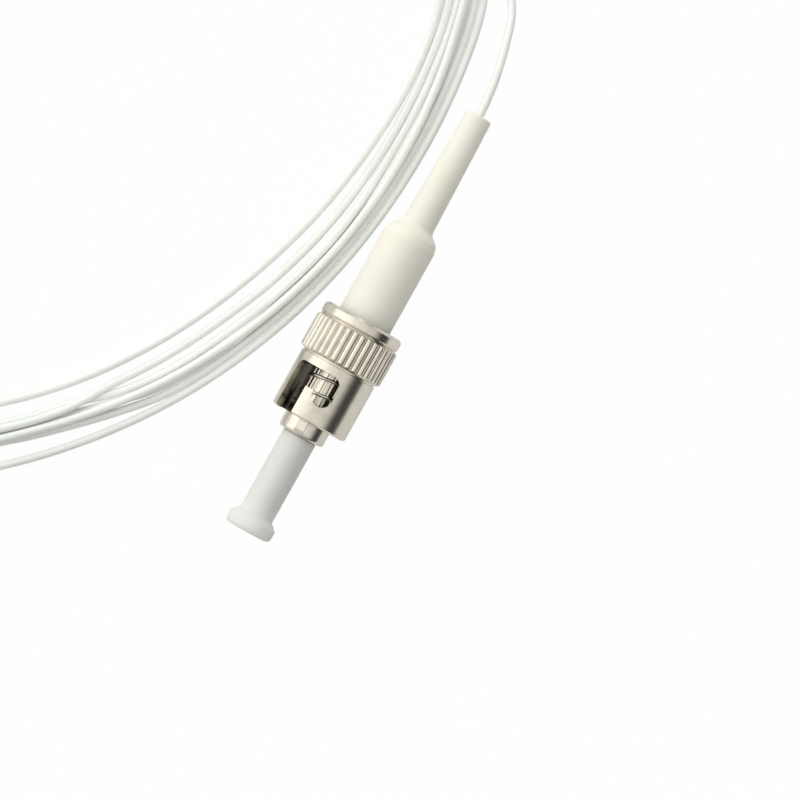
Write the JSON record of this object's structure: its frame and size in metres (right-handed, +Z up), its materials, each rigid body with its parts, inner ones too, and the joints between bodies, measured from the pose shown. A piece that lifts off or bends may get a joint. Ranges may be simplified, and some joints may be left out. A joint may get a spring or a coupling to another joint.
{
  "type": "st fibre connector",
  "caption": "Bayonet fibre connector with a spring-loaded knurled nut, dust-capped ceramic ferrule, strain-relief boot and a coiled tight-buffered pigtail.",
  "frame": {"origin": "on the floor below the middle of the connector, measured from the boot's tip to the dust cap's end, with the free cord left out", "axes": "+X along the connector from the boot to the ferrule, +Z up from the floor the knurled nut lies on, +Y across, away from the coil"},
  "size_m": [0.08, 0.063, 0.0096],
  "materials": {
    "nickel": "satin nickel plate on brass, turned",
    "zirconia": "polished white ceramic",
    "steel": "bright spring steel",
    "stem_steel": "turned stainless steel",
    "brass": "plain brass, drawn",
    "boot_rubber": "soft moulded ivory thermoplastic rubber",
    "cap_plastic": "translucent natural polyethylene",
    "guide_plastic": "natural extruded plastic",
    "buffer_plastic": "smooth white tight buffer",
    "coating": "clear acrylate coating",
    "glass": "bare silica fibre",
    "epoxy": "cured amber epoxy"
  },
  "bodies": {
    "root": {"ferrule": "zirconia", "ferrule_holder": "stem_steel", "glass_fibre": "glass", "fibre_coating": "coating", "adhesive_fill": "epoxy", "inner_buffer": "buffer_plastic", "guide_tube": "guide_plastic", "barrel": "nickel", "rear_body": "nickel", "crimp_sleeve": "brass", "retaining_clip": "steel", "spring": "steel", "boot": "boot_rubber", "cord_lead": "buffer_plastic", "cord_coil": "buffer_plastic"},
    "washer": {"thrust_washer": "stem_steel"},
    "nut": {"coupling_nut": "nickel"},
    "cap": {"dust_cap": "cap_plastic"}
  },
  "joints": [
    {"name": "nut_slide", "type": "slide", "parent": "root", "child": "washer", "axis": [1, 0, 0], "range_m": [0, 0.0022], "stiffness_N_per_m": 2000, "springref_m": -0.002, "deforming": ["spring"]},
    {"name": "nut_turn", "type": "hinge", "parent": "washer", "child": "nut", "pos_m": [0.00176, 0, 0.0048], "axis": [1, 0, 0], "continuous": true},
    {"name": "cap_pull", "type": "slide", "parent": "root", "child": "cap", "axis": [1, 0, 0], "range_m": [0, 0.012]}
  ]
}
